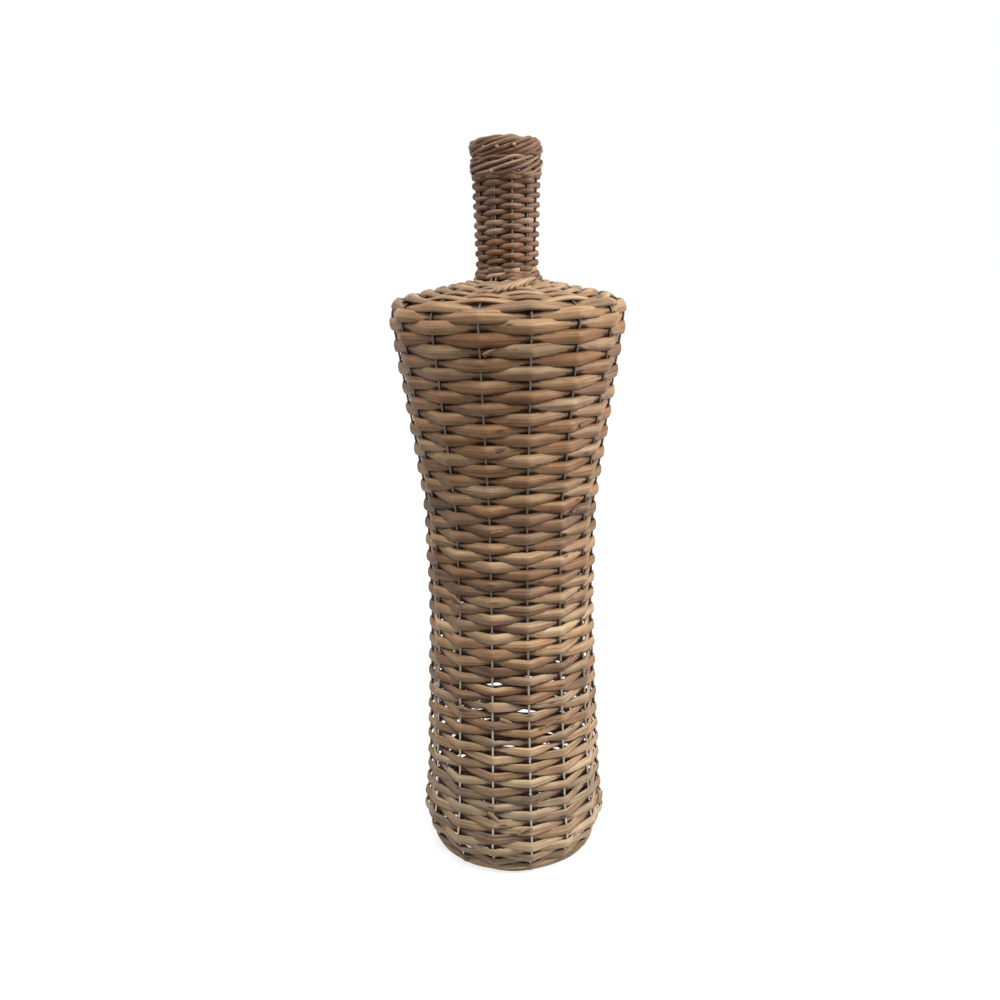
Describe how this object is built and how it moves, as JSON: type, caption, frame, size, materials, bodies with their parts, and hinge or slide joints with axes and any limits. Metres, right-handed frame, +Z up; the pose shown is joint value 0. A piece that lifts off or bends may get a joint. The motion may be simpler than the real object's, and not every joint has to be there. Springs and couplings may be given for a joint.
{
  "type": "rattan vase",
  "caption": "Tall bottle-shaped wicker floor vase: willow woven on a cage of steel wires, waisted body, domed shoulder, slim open neck and rolled rim.",
  "frame": {"origin": "middle of the standing face, on the surface that the vase stands on", "axes": "+Z up along the vase's axis to the rim; -Y is the side that the picture shows"},
  "size_m": [0.2541, 0.2539, 0.81],
  "materials": {
    "steel_wire": "bare drawn wire, slightly dulled",
    "willow_split_lower": "dry willow split, greyish beige",
    "willow_split_middle": "dry willow split, brownish tan",
    "willow_split_upper": "dry willow split, warm tan",
    "willow_rod": "buff willow rod, reddish brown, slight sheen"
  },
  "bodies": {
    "root": {"wire_01": "steel_wire", "wire_02": "steel_wire", "wire_03": "steel_wire", "wire_04": "steel_wire", "wire_05": "steel_wire", "wire_06": "steel_wire", "wire_07": "steel_wire", "wire_08": "steel_wire", "wire_09": "steel_wire", "wire_10": "steel_wire", "wire_11": "steel_wire", "wire_12": "steel_wire", "wire_13": "steel_wire", "wire_14": "steel_wire", "wire_15": "steel_wire", "base_ring": "steel_wire", "rim_hoop": "steel_wire", "base_weave": "willow_split_lower", "foot_border": "willow_split_lower", "wall_weave_1": "willow_split_lower", "wall_weave_2": "willow_split_lower", "wall_weave_3": "willow_split_middle", "wall_weave_4": "willow_split_middle", "wall_weave_5": "willow_split_upper", "wall_weave_6": "willow_split_upper", "shoulder_weave": "willow_split_upper", "neck_weave": "willow_rod", "rim_border_lower": "willow_rod", "rim_border_upper": "willow_rod"}
  },
  "joints": []
}
